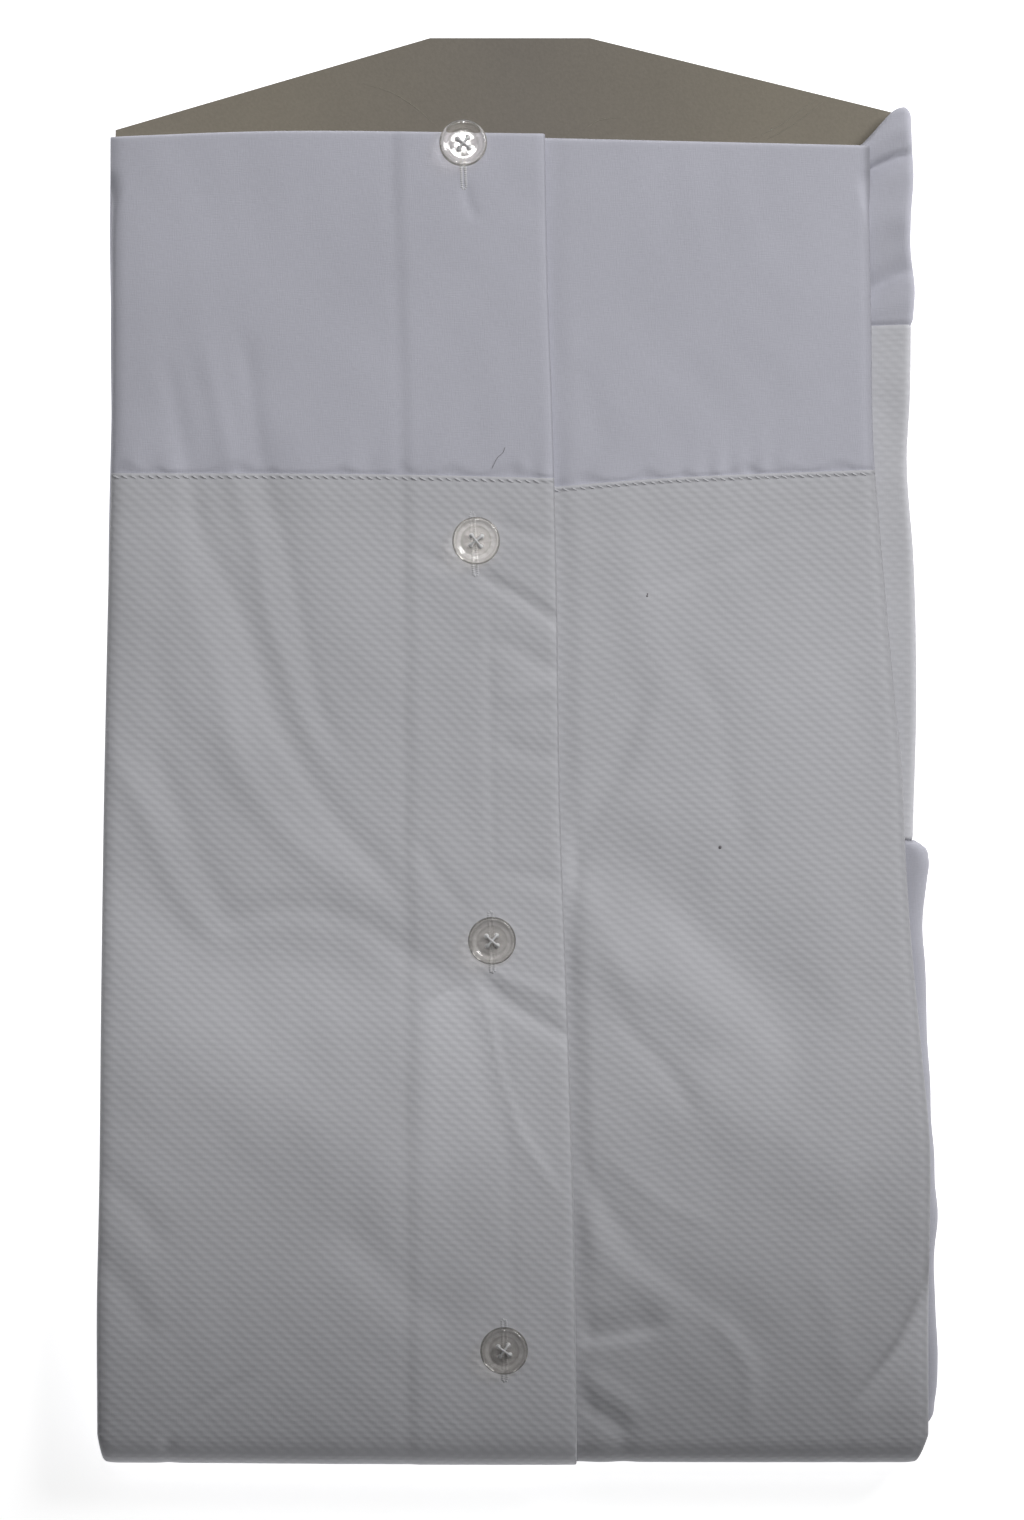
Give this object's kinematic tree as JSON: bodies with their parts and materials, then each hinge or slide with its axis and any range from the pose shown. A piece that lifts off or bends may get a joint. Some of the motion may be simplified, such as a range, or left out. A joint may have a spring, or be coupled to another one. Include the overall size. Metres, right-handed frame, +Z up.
{
  "type": "folded dress shirt on a packing board",
  "caption": "Dress shirt with a ribbed bib front, folded flat round a grey packing board, its buttoned front and one cuff showing.",
  "frame": {"origin": "middle of the pack's box, on the surface that it lies on", "axes": "+Y along the pack to its head end, where the bare board shows; +X to the side of the cuff that shows; +Z up out of the visible back of the pack"},
  "size_m": [0.2014, 0.3428, 0.0191],
  "materials": {
    "plain_cotton": "matt plain weave, white in a soft shade",
    "ribbed_cotton": "matt, small raised diamonds woven in",
    "clear_button": "clear and polished, with a raised rim",
    "grey_board": "uncoated grey board with fine flecks"
  },
  "bodies": {
    "root": {"left_bib": "ribbed_cotton", "right_bib": "ribbed_cotton", "left_front": "plain_cotton", "right_front": "plain_cotton", "right_front_side": "plain_cotton", "right_sleeve": "plain_cotton", "right_cuff": "ribbed_cotton", "folded_layers": "plain_cotton", "collar": "plain_cotton", "button_1": "clear_button", "button_2": "clear_button", "button_3": "clear_button", "button_4": "clear_button", "packing_board": "grey_board"}
  },
  "joints": []
}
